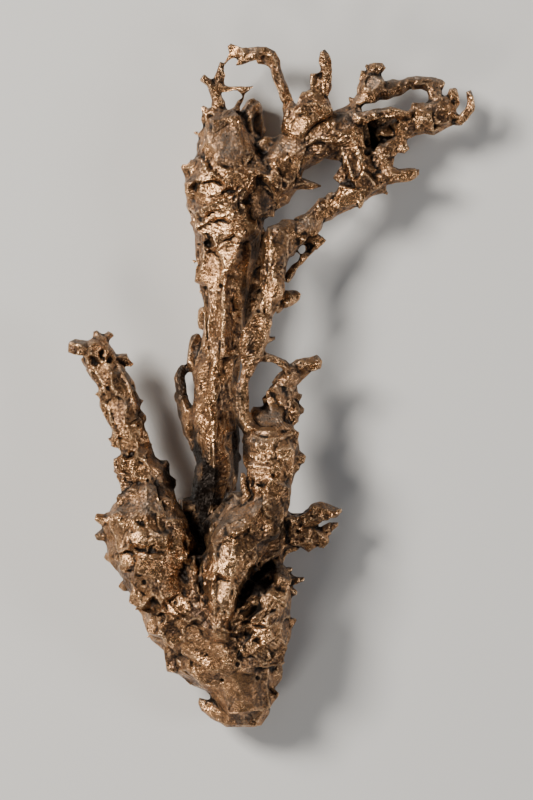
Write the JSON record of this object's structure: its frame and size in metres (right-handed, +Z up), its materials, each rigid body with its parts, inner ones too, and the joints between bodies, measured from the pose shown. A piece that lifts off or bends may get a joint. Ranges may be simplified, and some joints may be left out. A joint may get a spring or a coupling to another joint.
{
  "type": "native copper nugget",
  "caption": "Branching, hackly native copper specimen: a blunt tapering mass with a tall stem, finger-like branches, a spreading crown and a thin loop, lying on its back.",
  "frame": {"origin": "on the surface it rests on, below the middle of its overall box", "axes": "+Y from the blunt tip of the mass towards the crown, +X towards the side of the spreading crown, +Z up from the surface, out of the side that is shown"},
  "size_m": [0.1018, 0.1718, 0.0329],
  "materials": {
    "base_mass": "hackly natural copper with brown patina, worn bright on its edges",
    "left_branch": "hackly natural copper with brown patina, worn bright on its edges",
    "main_stem": "faceted and striated natural copper with brown patina and grey-brown tarnish",
    "front_branch": "ribbed natural copper, bright on its ridges, smooth grey saddle",
    "side_branch": "dark-tarnished natural copper with bright tips",
    "climbing_branch": "thin natural copper strands, mostly bright",
    "crown_branch": "hackly natural copper with dark hollows and bright edges",
    "crown_loop": "wiry natural copper, dark tarnish with bright facets"
  },
  "bodies": {
    "root": {"base_mass": "base_mass", "left_branch": "left_branch", "main_stem": "main_stem", "front_branch": "front_branch", "side_branch": "side_branch", "climbing_branch": "climbing_branch", "crown_branch": "crown_branch", "crown_loop": "crown_loop"}
  },
  "joints": []
}
